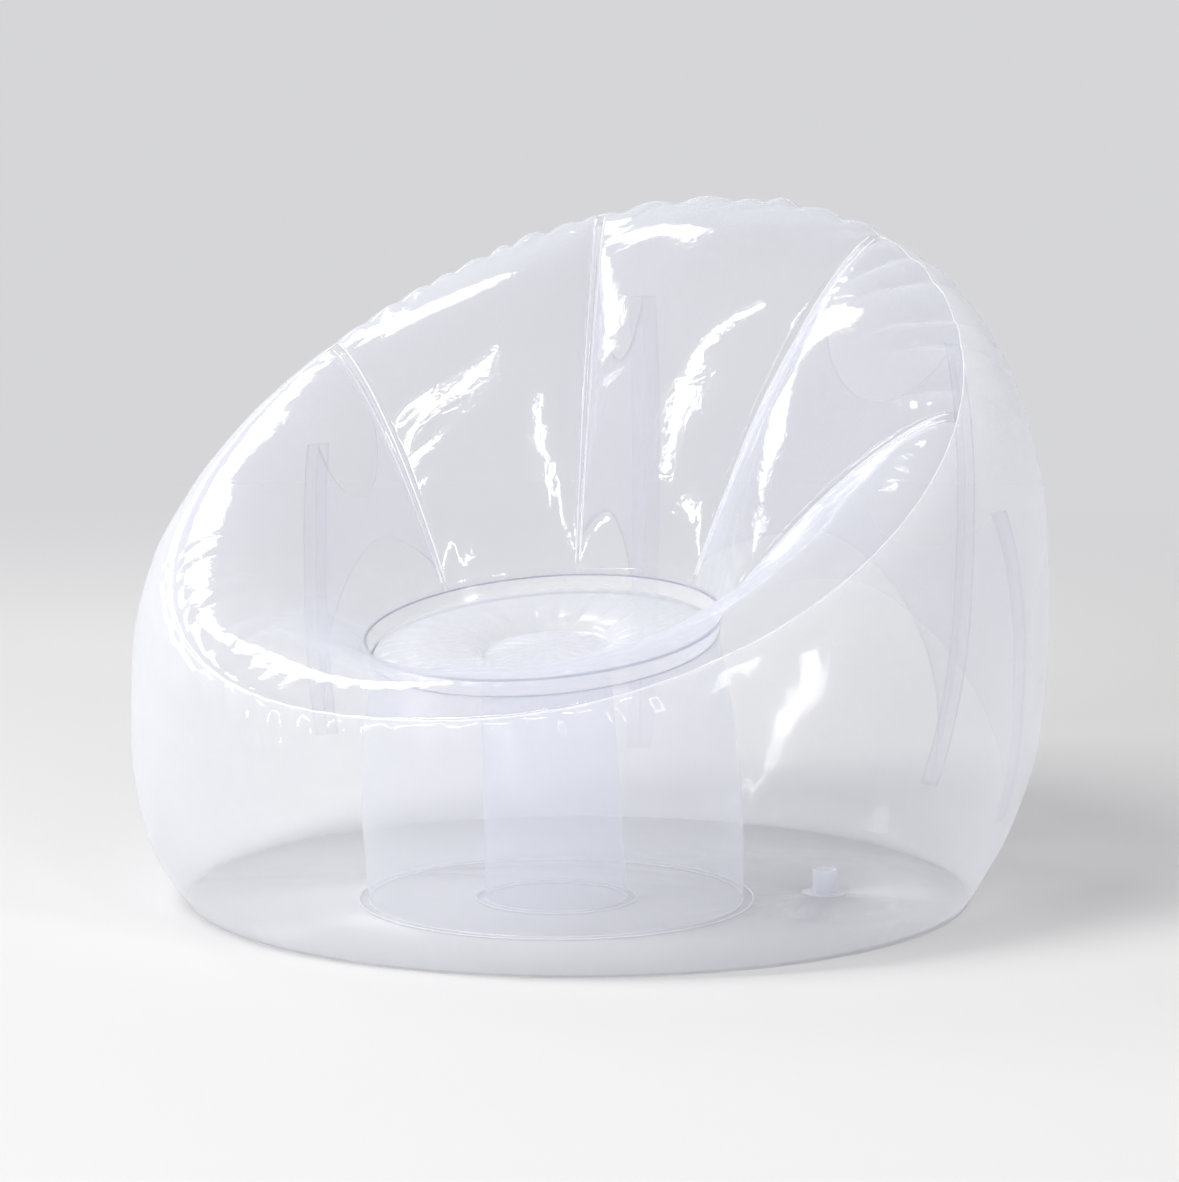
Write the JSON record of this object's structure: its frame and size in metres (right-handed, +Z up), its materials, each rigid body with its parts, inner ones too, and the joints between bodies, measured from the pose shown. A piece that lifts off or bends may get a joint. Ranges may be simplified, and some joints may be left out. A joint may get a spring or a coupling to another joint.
{
  "type": "inflatable chair",
  "caption": "Round inflatable bucket chair of clear film, with a sloping rim, a lobed back, upright inner webs, a pillar under a puffed round seat and an air valve in the base.",
  "frame": {"origin": "centre of the chair's footprint box, on the floor under the base panel", "axes": "+Z up, -Y toward the front, where the rim is lowest, +X to the right of the chair seen from the front"},
  "size_m": [0.9898, 0.9751, 0.7365],
  "materials": {
    "clear_film": "clear glossy film with a faint blue tint",
    "weld_film": "clear film, doubled and welded",
    "valve_vinyl": "soft moulded vinyl"
  },
  "bodies": {
    "chair": {"base_panel": "clear_film", "outer_wall": "clear_film", "lining_left": "clear_film", "lining_back": "clear_film", "lining_right": "clear_film", "lining_front": "clear_film", "web_left_side": "clear_film", "web_left_back": "clear_film", "web_right_back": "clear_film", "web_right_side": "clear_film", "crease_strip_left_side": "weld_film", "crease_strip_left_back": "weld_film", "crease_strip_right_back": "weld_film", "crease_strip_right_side": "weld_film", "wall_strip_left_side": "weld_film", "wall_strip_left_back": "weld_film", "wall_strip_right_back": "weld_film", "wall_strip_right_side": "weld_film", "seat_band": "clear_film", "seat_panel": "clear_film", "seat_tube": "clear_film", "centre_tube": "clear_film", "valve_body": "valve_vinyl"},
    "stem": {"valve_stem": "valve_vinyl"},
    "flap": {"check_flap": "valve_vinyl"},
    "plug": {"valve_plug": "valve_vinyl", "plug_strap": "valve_vinyl"}
  },
  "joints": [
    {"name": "stem_slide", "type": "slide", "parent": "chair", "child": "stem", "axis": [0, 0, -1], "range_m": [0, 0.0177]},
    {"name": "plug_slide", "type": "slide", "parent": "stem", "child": "plug", "axis": [0, 0, -1], "range_m": [0, 0.011]},
    {"name": "flap_hinge", "type": "hinge", "parent": "stem", "child": "flap", "pos_m": [0.245, 0.0696, 0.0224], "axis": [1, 0, 0], "range_deg": [0, 60], "stiffness_Nm_per_rad": 0.0004}
  ]
}
